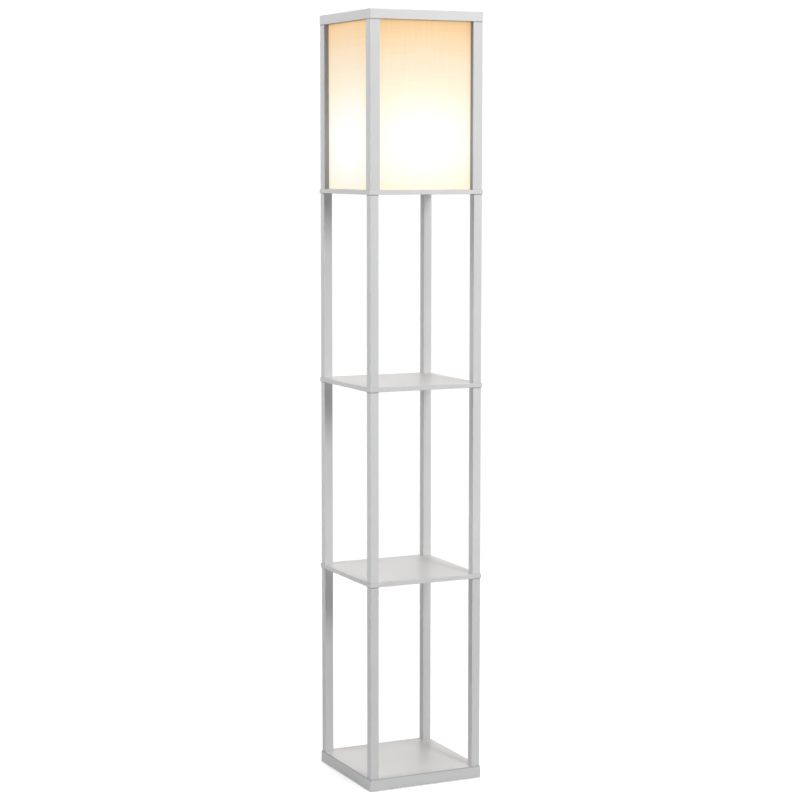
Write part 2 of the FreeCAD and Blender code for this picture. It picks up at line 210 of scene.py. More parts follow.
def fade_out(tree, value, start, end):
    """A mask that shrinks from 1 at start to 0 at end."""
    return grade(tree, value, start, end, 1.0, 0.0)


def gap(tree, first, second):
    """How far two values lie apart."""
    return calculate(tree, "ABSOLUTE", calculate(tree, "SUBTRACT", first, second))


def axes(tree, place):
    """The X, Y and Z of a place."""
    return add_node(tree, "ShaderNodeSeparateXYZ", {0: place}).outputs


edge_band, given, result = new_group(
    "edge_band",
    [("Place", "Vector", None), ("Reach", "Float", cad_high.x)],
    [("Band", "Float", None), ("Hairline", "Float", None), ("Mitre", "Float", None)],
)
along = axes(edge_band, given["Place"])
along_x = calculate(edge_band, "ABSOLUTE", along["X"])
along_y = calculate(edge_band, "ABSOLUTE", along["Y"])
outwards = calculate(edge_band, "MAXIMUM", along_x, along_y)
inset = calculate(edge_band, "SUBTRACT", given["Reach"], outwards)
off_line = gap(edge_band, inset, band_thickness)
off_diagonal = gap(edge_band, along_x, along_y)
band = fade_out(edge_band, inset, band_thickness, band_thickness + hairline_width / 2)
plug(edge_band, result["Band"], band)
plug(edge_band, result["Hairline"], fade_out(edge_band, off_line, 0.0, hairline_width))
plug(edge_band, result["Mitre"], fade_out(edge_band, off_diagonal, 0.0, hairline_width))
print(f"edge band {band_thickness * 1000:.1f} mm thick")

# %% [markdown]
# From network to finish
# A material holds one Principled shader, which knows how light meets a surface; a finish only has
# to feed its sockets. Patterns are measured in Object coordinates, which here are the lamp's own
# metres, because every piece lies at the origin. Unwrapping each piece would work too, but it leaves
# seams where a pattern breaks.


# %% Start a finish and put it on
def new_finish(name):
    """A material with its Principled shader and the piece's own Object coordinates."""
    material = bpy.data.materials.new(name)
    material.use_nodes = True
    tree = material.node_tree
    shader = tree.nodes["Principled BSDF"]
    place = tree.nodes.new("ShaderNodeTexCoord").outputs["Object"]
    return material, tree, shader, place


def set_node(node, **values):
    """Sets or joins a node's sockets; underscores in their names stand for spaces."""
    for name, value in values.items():
        plug(node.id_data, node.inputs[name.replace("_", " ")], value)


def place_group(tree, group, **values):
    """Places a group in a material and gives its outputs."""
    node = add_node(tree, "ShaderNodeGroup", node_tree=group)
    set_node(node, **values)
    return node.outputs


def add_bump(tree, shader, height, depth):
    """Raises the surface by a height map, depth metres high."""
    bump = add_node(tree, "ShaderNodeBump", {"Strength": 1.0, "Distance": depth, "Height": height})
    set_node(shader, Normal=bump.outputs[0])


def dress(material, *names):
    """Gives frame pieces a finish."""
    for name in names:
        nodes[name].data.materials.clear()
        nodes[name].data.materials.append(material)
    print(f"{material.name}: {len(names)} pieces")


finish_tools = (new_finish, set_node, place_group, add_bump, dress)
print("finish tools:", ", ".join(tool.__name__ for tool in finish_tools))

# %% [markdown]
# White laminate
# Posts, boards, base and top frame are particle board wrapped in an off-white foil with a satin
# gloss. The foil is very slightly uneven, like orange peel, which breaks up reflections. Modelling
# that would take millions of faces, so it is relief in the shader, and the foil's drift in tone and
# gloss comes from the cloudiness group.

# %% Mix the boards' laminate
board_light = (0.78, 0.757, 0.732, 1)
board_dark = (0.745, 0.725, 0.704, 1)
board_band = (0.785, 0.787, 0.79, 1)
base_band = (0.755, 0.76, 0.765, 1)
# the dark of foil joints, also used for the painted shadow lines on the posts
joint_and_shadow_colour = (0.22, 0.22, 0.225, 1)
fine_hairline = 0.35       # how dark a joint in the foil shows
clear_hairline = 0.7
mitre_line = 0.5
peel_depth = 0.00002
side_names = ("front", "right", "back", "left")


def laminate(name, light, dark):
    """A foil finish without its colour, which is given back for more mixing."""
    material, tree, shader, place = new_finish(name)
    foil = place_group(tree, cloudiness, Place=place, Light=light, Dark=dark,
                       Cloud_scale=6.0, Speck_scale=900.0, Smooth=0.30, Rough=0.38)
    set_node(shader, Roughness=foil["Roughness"], IOR=1.5)
    add_bump(tree, shader, foil["Relief"], peel_depth)
    return material, tree, shader, place, foil["Colour"]


def draw_joint_and_shadow_line(tree, colour, mask, darkness):
    """Darkens a colour where two foils meet, and along the painted shadow lines of the posts."""
    return blend_colours(tree, calculate(tree, "MULTIPLY", mask, darkness), colour, joint_and_shadow_colour)


def board_laminate(name, sample, band, hairline, mitre=0.0):
    """Foil with the edge band of the board that the sample piece belongs to, and its mitres if any."""
    material, tree, shader, place, colour = laminate(name, board_light, board_dark)
    edge = place_group(tree, edge_band, Place=place, Reach=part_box(sample)[1].x)
    colour = blend_colours(tree, edge["Band"], colour, band)
    colour = draw_joint_and_shadow_line(tree, colour, edge["Hairline"], hairline)
    if mitre:
        colour = draw_joint_and_shadow_line(tree, colour, edge["Mitre"], mitre)
    set_node(shader, Base_Color=colour)
    return material


board_foil = board_laminate("board_foil", "lower_shelf", board_band, fine_hairline)
base_top_foil = board_laminate("base_top_foil", "base_rail_right", base_band, clear_hairline)
base_rail_foil = board_laminate("base_rail_foil", "base_rail_right", base_band, clear_hairline, mitre_line)
frame_foil = board_laminate("frame_foil", "top_rail_right", board_band, fine_hairline, mitre_line)
dress(board_foil, "lower_shelf", "middle_shelf", "lamp_deck")
dress(base_top_foil, "base_top_panel")
dress(base_rail_foil, *[f"base_rail_{side}" for side in side_names])
dress(frame_foil, *[f"top_rail_{side}" for side in side_names])

# %% [markdown]
# Post joints and painted shadows
# Each post is butted between two boards. Its head meets the underside of a board that stands proud
# of it, so a dark line shows there: a painted shadow of the board, with the glue line in it; at its
# foot a much finer painted contact shadow. Cutting a gap would change the fit, so both lines are
# masks on the height, measured from the post's own ends.
# Each tier's posts are given a slightly lighter or darker foil tone, which paints in the light and
# shade that falls differently on each tier.

# %% Mix the posts' laminate
post_light = (0.79, 0.793, 0.798, 1)
post_dark = (0.755, 0.759, 0.764, 1)
# painted light and shade: each tier's foil tone stands in for the light that falls on that tier
tier_light_tones = {"lower": 0.965, "middle": 1.075, "upper": 1.022, "shade": 0.985}   # foil tone of each tier
corner_names = ("front_left", "front_right", "back_left", "back_right")
# painted shadow of the board above each post's head, with the glue line in it, and a finer painted contact
# shadow at its foot
head_shadow_width = 0.0022
head_shadow_core = head_shadow_width / 3     # full dark next to the board
head_shadow_darkness = 0.9
foot_shadow_width = 0.0008
foot_shadow_darkness = 0.6


def tinted(colour, tone):
    """A colour made lighter or darker."""
    return (*[channel * tone for channel in colour[:3]], 1)


def post_laminate(tier, tone):
    """Foil with a painted shadow, glue line in it, under the head and a fine painted contact shadow over
    the foot of a tier's posts.
    """
    low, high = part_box(f"{tier}_post_front_left")
    # the tier's tone paints in the light and shade that falls on that tier
    light, dark = tinted(post_light, tone), tinted(post_dark, tone)
    material, tree, shader, place, colour = laminate(f"{tier}_post_foil", light, dark)
    height = axes(tree, place)["Z"]
    below_head = calculate(tree, "SUBTRACT", high.z, height)
    above_foot = calculate(tree, "SUBTRACT", height, low.z)
    # painted contact shadow over the foot, painted shadow under the head
    colour = draw_joint_and_shadow_line(tree, colour, fade_out(tree, above_foot, 0.0, foot_shadow_width), foot_shadow_darkness)
    colour = draw_joint_and_shadow_line(tree, colour, fade_out(tree, below_head, head_shadow_core, head_shadow_width), head_shadow_darkness)
    set_node(shader, Base_Color=colour)
    return material


for tier, tone in tier_light_tones.items():
    dress(post_laminate(tier, tone), *[f"{tier}_post_{corner}" for corner in corner_names])

# %% [markdown]
# The shade cloths
# Each side of the shade is one strip of pale cloth on a stiff backing, folded back along both
# upright edges into a hem and slid into grooves in the posts. A plain box would lose the hem. Here
# a point is spun half round into each fold, the folds are joined by the face and the hems, and the
# whole outline is pulled upwards as the cloth runs; Solidify then gives it its thickness.

# %% Fold and raise a shade cloth
cloth_thickness = 0.0007
hem_width = 0.014
hem_air = 0.0001           # left between the two layers of the hem
fold_steps = 6
fold_radius = (cloth_thickness + hem_air) / 2


def points_in(items):
    """The points among what a bmesh operator gives back."""
    return [item for item in items if isinstance(item, bmesh.types.BMVert)]


def fold_edge(bm, hand, reach, face, level):
    """The fold and hem at one upright edge, left -1 or right 1; gives the point where the face begins."""
    start = bm.verts.new((hand * reach, face, level))
    bend = bmesh.ops.spin(bm, geom=[start], cent=(hand * reach, face + fold_radius, level),
                          axis=(0, 0, hand), angle=math.pi, steps=fold_steps)
    back = points_in(bend["geom_last"])[0]
    hem_end = bm.verts.new((hand * (reach - hem_width), face + 2 * fold_radius, level))
    bm.edges.new((back, hem_end))
    return start


def raise_outline(bm, height, rows):
    """Pulls every edge of the outline upwards, row by row."""
    edges = bm.edges[:]
    for row in range(rows):
        grown = bmesh.ops.extrude_edge_only(bm, edges=edges)["geom"]
        raised = points_in(grown)
        bmesh.ops.translate(bm, verts=raised, vec=(0, 0, height / rows))
        edges = [item for item in grown if isinstance(item, bmesh.types.BMEdge)
                 and all(vert in raised for vert in item.verts)]


print(f"fold {fold_radius * 1000:.2f} mm in radius, hem {hem_width * 1000:.0f} mm wide")

# %% [markdown]
# Four sides from one
# All four sides of the shade are alike, so one function makes the front cloth and turns it about the
# lamp's axis to its side. Turning the object would do as well, but then the weave, which follows
# Object coordinates, would not know where the cloth hangs, so the points themselves are turned. The
# finished mesh becomes a piece that rides on a body and stands for one piece of the frame.

# %% Hang the four cloths
cloth_columns = 40
cloth_rows = 48
panel_low, panel_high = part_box("shade_panel_front")


def keep_piece(bm, name, body, node, smooth=False):
    """Turns a finished bmesh into a piece that rides on a body and stands for a frame piece."""
    for face in bm.faces:
        face.smooth = smooth
    mesh = bpy.data.meshes.new(name)
    bm.to_mesh(mesh)
    bm.free()
    piece = bpy.data.objects.new(name, mesh)
    scene.collection.objects.link(piece)
    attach(piece, body)
    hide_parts(node)
    print(f"{name}: {len(mesh.polygons)} faces, in place of {node}")
    return piece


def thicken(piece, name, thickness):
    """Gives a thin piece its thickness, half to each side."""
    wall = piece.modifiers.new(name, "SOLIDIFY")
    wall.thickness = thickness
    wall.offset = 0.0


def shade_cloth(side, turn):
    """One cloth with folded hems, made for the front and turned about Z to its side."""
    bm = bmesh.new()
    face = panel_low.y + cloth_thickness / 2
    reach = panel_high.x - cloth_thickness
    starts = [fold_edge(bm, hand, reach, face, panel_low.z) for hand in (-1, 1)]
    front = bm.edges.new(starts)
    bmesh.ops.subdivide_edges(bm, edges=[front], cuts=cloth_columns - 1)
    raise_outline(bm, panel_high.z - panel_low.z, cloth_rows)
    bmesh.ops.rotate(bm, verts=bm.verts, cent=(0, 0, 0), matrix=Matrix.Rotation(turn, 3, "Z"))
    bmesh.ops.recalc_face_normals(bm, faces=bm.faces)
    cloth = keep_piece(bm, f"shade_cloth_{side}", "lamp", f"shade_panel_{side}")
    thicken(cloth, "thickness", cloth_thickness)
    return cloth


cloths = [shade_cloth(side, number * math.pi / 2) for number, side in enumerate(side_names)]

# %% [markdown]
# Glow through the cloth
# The bulb stands low in the shade, so the cloth is white-hot level with it and fades to amber at
# the top. A real light behind see-through cloth would need many rays and would be lost when the
# model leaves this scene. Instead the cloth gives off light itself: how much reaches a spot from
# the bulb follows from its distance, and a colour ramp turns that share into the colour seen. The
# filament lies front to back and shines a little more to the sides, so those cloths get more.

# %% Build the lamp glow group
globe_low, globe_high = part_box("bulb_globe")
globe_radius = (globe_high.x - globe_low.x) / 2
glow_centre = Vector((0, 0, globe_high.z - globe_radius))
cloth_distance = -panel_low.y
glow_upright = 1.3         # the light falls off faster up and down the cloth
glow_across = 0.9          # and slower across it, because the other cloths send some back
glow_sideways = 1.2        # how much more the side cloths get
glow_falloff = 3.0         # distance spreads the light, and a slant spreads it over more cloth
glow_stops = [
    (0.035, (0.65, 0.37, 0.11)),
    (0.0525, (0.76, 0.49, 0.23)),
    (0.07, (0.78, 0.55, 0.315)),
    (0.09, (0.79, 0.605, 0.40)),
    (0.16, (0.80, 0.68, 0.50)),
    (0.30, (0.82, 0.77, 0.61)),
    (0.52, (0.84, 0.82, 0.75)),
    (0.76, (0.87, 0.86, 0.82)),
    (1.00, (0.95, 0.95, 0.95)),
]


def move(tree, operation, *vectors):
    """A Vector Math node on one or two places; gives its outputs."""
    return add_node(tree, "ShaderNodeVectorMath", dict(enumerate(vectors)), operation=operation).outputs


lamp_glow, given, result = new_group(
    "lamp_glow",
    [("Place", "Vector", None), ("Centre", "Vector", glow_centre), ("Distance", "Float", cloth_distance)],
    [("Share", "Float", None), ("Colour", "Color", None)],
)
offset = move(lamp_glow, "SUBTRACT", given["Place"], given["Centre"])["Vector"]
along = axes(lamp_glow, move(lamp_glow, "ABSOLUTE", offset)["Vector"])
away = calculate(lamp_glow, "MAXIMUM", along["X"], along["Y"])
across = calculate(lamp_glow, "MINIMUM", along["X"], along["Y"])
path = add_node(lamp_glow, "ShaderNodeCombineXYZ", {
    "X": away,
    "Y": calculate(lamp_glow, "MULTIPLY", across, glow_across),
    "Z": calculate(lamp_glow, "MULTIPLY", along["Z"], glow_upright),
}).outputs[0]
reach = move(lamp_glow, "LENGTH", path)["Value"]
nearness = calculate(lamp_glow, "DIVIDE", given["Distance"], reach)
share = calculate(lamp_glow, "POWER", nearness, glow_falloff)
at_side = calculate(lamp_glow, "GREATER_THAN", along["X"], along["Y"])
side_gain = calculate(lamp_glow, "MULTIPLY_ADD", at_side, glow_sideways - 1.0, 1.0)
share = calculate(lamp_glow, "MULTIPLY", share, side_gain)
ramp = add_node(lamp_glow, "ShaderNodeValToRGB", {0: share})
ramp.color_ramp.interpolation = "CARDINAL"
stops = ramp.color_ramp.elements
while len(stops) < len(glow_stops):
    stops.new(1.0)
for stop, (position, colour) in zip(stops, glow_stops):
    stop.position = position
    stop.color = (*colour, 1)
plug(lamp_glow, result["Share"], share)
plug(lamp_glow, result["Colour"], ramp.outputs[0])
print(f"glow centred {glow_centre.z:.3f} m above the floor, cloth {cloth_distance:.3f} m away")

# %% [markdown]
# Hems and shadows on the cloth
# The cloth is double along the hems, so those let less light through, and the last millimetres
# beside the posts, under the frame and over the deck lie in shadow. Painting them on each cloth
# would take four maps. Masks on the distance from the middle and on the height place them on all
# four cloths alike.

# %% Mark the hems and the shadows
hem_start = panel_high.x - hem_width
hem_blur = 0.0006
fold_line_width = 0.0012
groove_lip = 0.0005        # next to the post the shadow is full
groove_shadow = 0.0025     # and ends here
frame_darkness = 0.6       # shadows under the frame and over the deck, beside the posts' own
deck_darkness = 0.4
post_inner = -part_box("shade_post_front_left")[1].x
frame_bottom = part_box("top_rail_front")[0].z

cloth_finish, tree, shader, place = new_finish("shade_cloth")
along = axes(tree, place)
along_x = calculate(tree, "ABSOLUTE", along["X"])
along_y = calculate(tree, "ABSOLUTE", along["Y"])
across = calculate(tree, "MINIMUM", along_x, along_y)
to_post = calculate(tree, "SUBTRACT", post_inner, across)
to_frame = calculate(tree, "SUBTRACT", frame_bottom, along["Z"])
to_deck = calculate(tree, "SUBTRACT", along["Z"], panel_low.z)
hem = grade(tree, across, hem_start, hem_start + hem_blur)
fold_line = fade_out(tree, gap(tree, across, hem_start), 0.0, fold_line_width)
shadow = fade_out(tree, to_post, groove_lip, groove_shadow)
for distance, darkness in ((to_frame, frame_darkness), (to_deck, deck_darkness)):
    more = calculate(tree, "MULTIPLY", fade_out(tree, distance, 0.0, groove_shadow), darkness)
    shadow = calculate(tree, "MAXIMUM", shadow, more)
print(f"hems from {hem_start:.4f} m, shadows from {post_inner - groove_shadow:.4f} m outwards")

# %% [markdown]
# The weave
# The cloth is a plain weave with threads about half a millimetre apart, some of them thicker than
# their neighbours, which weavers call slubs. A picture of cloth would repeat and blur. Two waves
# multiplied go over and under at each crossing, and two noises drawn out along the threads, one
# upright and one level, make the slubs.

# %% Weave the cloth
thread_pitch = 0.00055
upright_threads = (900, 900, 9)
level_threads = (9, 9, 900)
slub_tone = 0.012          # how much the slubs and the crossings change the light
crossing_tone = 0.02


def stretch(tree, place, scale):
    """Places scaled along each axis; a pattern on them is drawn out where the scale is small."""
    return add_node(tree, "ShaderNodeMapping", {"Vector": place, "Scale": scale}).outputs[0]


turns = 2 * math.pi / thread_pitch
round_lamp = calculate(tree, "ADD", along["X"], along["Y"])
warp = calculate(tree, "SINE", calculate(tree, "MULTIPLY", round_lamp, turns))
weft = calculate(tree, "SINE", calculate(tree, "MULTIPLY", along["Z"], turns))
crossings = calculate(tree, "MULTIPLY", warp, weft)
upright_slubs = noise(tree, stretch(tree, place, upright_threads))
level_slubs = noise(tree, stretch(tree, place, level_threads))
slubs = calculate(tree, "SUBTRACT", calculate(tree, "ADD", upright_slubs, level_slubs), 1.0)
tone = calculate(tree, "MULTIPLY_ADD", slubs, slub_tone, 1.0)
tone = calculate(tree, "MULTIPLY_ADD", crossings, crossing_tone, tone)
print(f"a thread every {thread_pitch * 1000:.2f} mm")

# %% [markdown]
# Light in the cloth
# A lit shade looks far brighter than the light it throws on its frame, because the eye and the
# camera are dazzled by it. One strength for both would either grey the shade or burn out the posts.
# The Light Path node tells the two apart, so the cloth has one strength where it is looked at and a
# lower one where it lights its neighbours, which grows towards the bulb as its real light does.

# %% Light the cloth
cloth_light = (0.31, 0.285, 0.25, 1)
cloth_dark = (0.27, 0.24, 0.20, 1)
slub_spread = 0.15
weave_depth = 0.00006
hem_loss = 0.05            # share of the light that hems, fold lines and shadows take away
fold_loss = 0.04
shadow_loss = 0.65
least_thrown = 0.20        # strength of what the cloth throws on its frame, far from the bulb
most_thrown = 0.68         # and level with it


def glow_strength(tree, seen, thrown):
    """One strength for what is seen directly and another for the light thrown on other pieces."""
    looked_at = tree.nodes.new("ShaderNodeLightPath").outputs["Is Camera Ray"]
    return grade(tree, looked_at, 0.0, 1.0, thrown, seen)


glow = place_group(tree, lamp_glow, Place=place)
thrown = grade(tree, glow["Share"], 0.0, 1.0, least_thrown, most_thrown)
kept = tone
for mask, loss in ((hem, hem_loss), (fold_line, fold_loss), (shadow, shadow_loss)):
    kept = calculate(tree, "MULTIPLY", kept, calculate(tree, "MULTIPLY_ADD", mask, -loss, 1.0))
dimmed = add_node(tree, "ShaderNodeVectorMath", {0: glow["Colour"], "Scale": kept}, operation="SCALE")
thread_colour = blend_colours(tree, grade(tree, slubs, -slub_spread, slub_spread), cloth_dark, cloth_light)
set_node(shader, Base_Color=thread_colour, Roughness=0.9, Sheen_Weight=0.15, Sheen_Roughness=0.5,
         Emission_Color=dimmed.outputs[0], Emission_Strength=glow_strength(tree, 1.0, thrown))
add_bump(tree, shader, crossings, weave_depth)
for cloth in cloths:
    cloth.data.materials.append(cloth_finish)
print(f"{cloth_finish.name}: {len(cloths)} pieces")

# %% [markdown]
# Screw threads
# A bulb's cap and the brass sleeve it screws into are rolled from thin sheet, so the thread is a
# soft wave, about seven turns to the inch. A helix could be swept along a curve, but its ends would
# stay open. Here the plain shape is turned by a spin, and then every ring is pushed in or out by a
# wave that runs one pitch up for each turn and dies away at both ends.

# %% Turn a shape and roll a thread
thread_rise = 0.00363      # pitch of the bulb's thread
turning_steps = 72
weld_distance = 0.00001
wall_tolerance = 0.0001    # a point this near the wall's radius belongs to the wall


def turn_profile(bm, points, rows=0):
    """Spins a chain of (radius, height) points round the lamp's axis; its longest edge gets the rows."""
    chain = [bm.verts.new((radius, 0, height)) for radius, height in points]
    edges = [bm.edges.new(pair) for pair in zip(chain, chain[1:])]
    if rows:
        longest = max(edges, key=lambda edge: edge.calc_length())
        bmesh.ops.subdivide_edges(bm, edges=[longest], cuts=rows)
    bmesh.ops.spin(bm, geom=bm.verts[:] + bm.edges[:], cent=(0, 0, 0), axis=(0, 0, 1),
                   angle=2 * math.pi, steps=turning_steps, use_merge=True)
    bmesh.ops.remove_doubles(bm, verts=bm.verts, dist=weld_distance)
    bmesh.ops.recalc_face_normals(bm, faces=bm.faces)


def roll_thread(bm, radius, start, end, depth):
    """Waves the wall at this radius between two heights; a negative depth presses it inwards."""
    for vert in bm.verts:
        height = vert.co.z
        if not start < height < end or abs(vert.co.xy.length - radius) > wall_tolerance:
            continue
        turn = math.atan2(vert.co.y, vert.co.x) / (2 * math.pi)
        wave = 0.5 - 0.5 * math.cos(2 * math.pi * ((height - start) / thread_rise - turn))
        fade = min(1.0, (height - start) / thread_rise, (end - height) / thread_rise)
        vert.co.xy *= 1 + depth * wave * fade / radius


print(f"thread rises {thread_rise * 1000:.2f} mm a turn, in {turning_steps} steps")

# %% [markdown]
# The bulb's cap and the holder's sleeve
# The cap tapers to its contact and ends in a plain collar at the glass; the sleeve has a flange at
# its foot and an open mouth. The frame holds both as plain turned shapes, and a bump on those would
# leave their outlines straight. So both are turned anew from a few points, with the wall cut into
# enough rows for the thread to show in the outline.

# %% Make the cap and the sleeve
thread_rows = 54
cap_low, cap_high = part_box("bulb_cap")
cap_foot_radius = 0.009
cap_cone_height = 0.004
cap_collar = 0.003         # plain rim next to the glass
cap_thread_depth = 0.0008
cap_shoulder = cap_low.z + cap_cone_height
bm = bmesh.new()
turn_profile(bm, [(0, cap_low.z), (cap_foot_radius, cap_low.z), (cap_high.x, cap_shoulder),
                  (cap_high.x, cap_high.z), (0, cap_high.z)], thread_rows)
roll_thread(bm, cap_high.x, cap_shoulder, cap_high.z - cap_collar, -cap_thread_depth)
bulb_cap = keep_piece(bm, "bulb_screw_cap", "bulb", "bulb_cap", smooth=True)

sleeve_low, sleeve_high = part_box("screw_shell")
sleeve_bore = 0.0138
sleeve_wall = 0.0005
sleeve_plain_end = 0.001   # left without thread at both ends
sleeve_thread_depth = 0.0006
sleeve_radius = sleeve_bore + sleeve_wall / 2
flange_middle = sleeve_low.z + sleeve_wall / 2
bm = bmesh.new()
turn_profile(bm, [(sleeve_high.x, flange_middle), (sleeve_radius, flange_middle),
                  (sleeve_radius, sleeve_high.z)], thread_rows)
roll_thread(bm, sleeve_radius, flange_middle + sleeve_plain_end, sleeve_high.z - sleeve_plain_end,
            sleeve_thread_depth)
screw_sleeve = keep_piece(bm, "holder_screw_sleeve", "lamp", "screw_shell", smooth=True)
thicken(screw_sleeve, "wall", sleeve_wall)

# %% [markdown]
# Screw and bolt heads
# The lampholder's wood screws take a cross-point driver, and the bolts under the base a hexagon
# key. The frame's heads are plain. A cutter could be subtracted from them, but that leaves ragged
# slivers. Here the head is turned without its flat, the flat is filled and inset, its inner ring is
# moved out to the drive's outline, and what lies inside is pressed into the head.


# %% Press a drive recess
inset_share = 0.25         # of the flat's radius, before the inner ring is moved


def hexagon_reach(angle, half_width):
    """How far a hexagon reaches from its middle at an angle."""
    folded = (angle + math.pi / 6) % (math.pi / 3) - math.pi / 6
    return half_width / math.cos(folded)


def cross_reach(angle, half_width, arm):
    """How far a cross with arms of this length and half width reaches at an angle."""
    folded = abs((angle + math.pi / 4) % (math.pi / 2) - math.pi / 4)
    along_arm = arm / math.cos(folded)
    return min(along_arm, half_width / math.sin(folded)) if folded > half_width / arm else along_arm


def turn_fasteners(points, outline, depth, centres):
    """Fasteners turned from their tip to the rim of the head's flat, with a recess in the flat."""
    bm = bmesh.new()
    turn_profile(bm, points)
    rim = [edge for edge in bm.edges if edge.is_boundary]
    flat = bmesh.ops.edgeloop_fill(bm, edges=rim)["faces"][0]
    bmesh.ops.inset_individual(bm, faces=[flat], thickness=points[-1][0] * inset_share)
    for vert in flat.verts:
        angle = math.atan2(vert.co.y, vert.co.x)
        vert.co.xy = outline(angle) * Vector((math.cos(angle), math.sin(angle)))
    sunk = bmesh.ops.extrude_discrete_faces(bm, faces=[flat])["faces"][0]
    bmesh.ops.translate(bm, verts=sunk.verts, vec=(0, 0, depth))
    bmesh.ops.recalc_face_normals(bm, faces=bm.faces)
    first = bm.verts[:] + bm.edges[:] + bm.faces[:]
    for centre in centres[1:]:
        copy = bmesh.ops.duplicate(bm, geom=first)["geom"]
        bmesh.ops.translate(bm, verts=points_in(copy), vec=centre)
    bmesh.ops.translate(bm, verts=points_in(first), vec=centres[0])
    return bm


print(f"a hexagon's corners reach {hexagon_reach(math.pi / 6, 1.0):.3f} times its half width")

# %% [markdown]
# Wood screws and base bolts
# Both are made of the same turned profile: shank, head and a small bevel round the head's flat. The
# screws stand head up beside the lampholder, and the bolts hang head down in the base, so the
# profile of one is listed upwards and of the other downwards. Threads are left off, because every
# shank is buried in wood.

# %% Make the wood screws and the base bolts
screw_low, screw_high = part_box("holder_screws")
screw_head_radius = screw_high.y
screw_radius = 0.0015
screw_head_height = 0.002
screw_head_bevel = 0.0008
cross_arm = 0.0017
cross_half_width = 0.00045
cross_depth = 0.0011
screw_circle = screw_high.x - screw_head_radius
screw_neck = screw_high.z - screw_head_height
bm = turn_fasteners(
    [
        (0, screw_low.z),
        (screw_radius, screw_low.z),
        (screw_radius, screw_neck),
        (screw_head_radius, screw_neck),
        (screw_head_radius, screw_high.z - screw_head_bevel),
        (screw_head_radius - screw_head_bevel, screw_high.z),
    ],
    lambda angle: cross_reach(angle, cross_half_width, cross_arm),
    -cross_depth,
    [(-screw_circle, 0, 0), (screw_circle, 0, 0)],
)
cross_screws = keep_piece(bm, "holder_cross_screws", "lamp", "holder_screws")

bolt_low, bolt_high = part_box("base_bolts")
bolt_radius = 0.003
bolt_head_radius = 0.005
bolt_head_height = 0.006
bolt_head_bevel = 0.0004
key_half_width = 0.0025
key_depth = 0.003
bolt_circle = bolt_high.x - bolt_head_radius
bolt_neck = bolt_low.z + bolt_head_height
bm = turn_fasteners(
    [
        (0, bolt_high.z),
        (bolt_radius, bolt_high.z),
        (bolt_radius, bolt_neck),
        (bolt_head_radius, bolt_neck),
        (bolt_head_radius, bolt_low.z + bolt_head_bevel),
        (bolt_head_radius - bolt_head_bevel, bolt_low.z),
    ],
    lambda angle: hexagon_reach(angle, key_half_width),
    key_depth,
    [(x * bolt_circle, y * bolt_circle, 0) for x in (-1, 1) for y in (-1, 1)],
)
key_bolts = keep_piece(bm, "base_key_bolts", "lamp", "base_bolts")

# %% [markdown]
# Shared effect: drawn metal
# Bolts, sleeves and caps are turned, rolled or drawn, which leaves fine marks that all run one way,
# with duller patches where the plating is thicker. A noise squeezed along one axis gives the marks;
# which way it is squeezed is set by a Mapping node in each material, so one group serves them all.

# %% Build the drawn metal group
patch_scale = 160.0
mark_share = 0.5           # marks and patches count alike
dull_start = 0.38
dull_end = 0.62

drawn_metal, given, result = new_group(
    "drawn_metal",
    [
        ("Marks", "Vector", None),
        ("Place", "Vector", None),
        ("Bright", "Color", (0.6, 0.6, 0.6, 1)),
        ("Dull", "Color", (0.5, 0.5, 0.5, 1)),
        ("Smooth", "Float", 0.25),
        ("Rough", "Float", 0.45),
    ],
    [("Colour", "Color", None), ("Roughness", "Float", None), ("Relief", "Float", None)],
)
marks = noise(drawn_metal, given["Marks"], detail=3.0, roughness=0.6)
patches = noise(drawn_metal, given["Place"], patch_scale, detail=3.0)
wear = calculate(drawn_metal, "MULTIPLY", patches, 1 - mark_share)
wear = calculate(drawn_metal, "MULTIPLY_ADD", marks, mark_share, wear)
dullness = grade(drawn_metal, wear, dull_start, dull_end)
plug(drawn_metal, result["Colour"], blend_colours(drawn_metal, dullness, given["Bright"], given["Dull"]))
gloss = grade(drawn_metal, dullness, 0.0, 1.0, given["Smooth"], given["Rough"])
plug(drawn_metal, result["Roughness"], gloss)
plug(drawn_metal, result["Relief"], marks)
print("drawn metal gives", [socket.name for socket in result if socket.name])

# %% [markdown]
# Zinc and brass
# Fasteners, cap and switch parts are zinc plated steel, the sleeve and the contacts brass. Both are
# the drawn metal group with their own two colours. Marks run round the way a piece was turned, so
# upright pieces have theirs round Z, and the switch's shaft, which lies level, has them round Y.

# %% Mix zinc and brass
marks_round_z = (40, 40, 2600)
marks_round_y = (40, 2600, 40)
mark_depth = 0.000008
zinc_tones = {
    "Bright": (0.66, 0.67, 0.69, 1),
    "Dull": (0.52, 0.52, 0.50, 1),
    "Smooth": 0.22,
    "Rough": 0.42,
}
brass_tones = {
    "Bright": (0.80, 0.60, 0.30, 1),
    "Dull": (0.55, 0.38, 0.18, 1),
    "Smooth": 0.18,
    "Rough": 0.38,
}


def metal(name, squeeze, tones):
    """A bare metal finish whose marks run the way that squeeze says."""
    material, tree, shader, place = new_finish(name)
    look = place_group(tree, drawn_metal, Marks=stretch(tree, place, squeeze), Place=place, **tones)
    set_node(shader, Base_Color=look["Colour"], Roughness=look["Roughness"], Metallic=1.0)
    add_bump(tree, shader, look["Relief"], mark_depth)
    return material


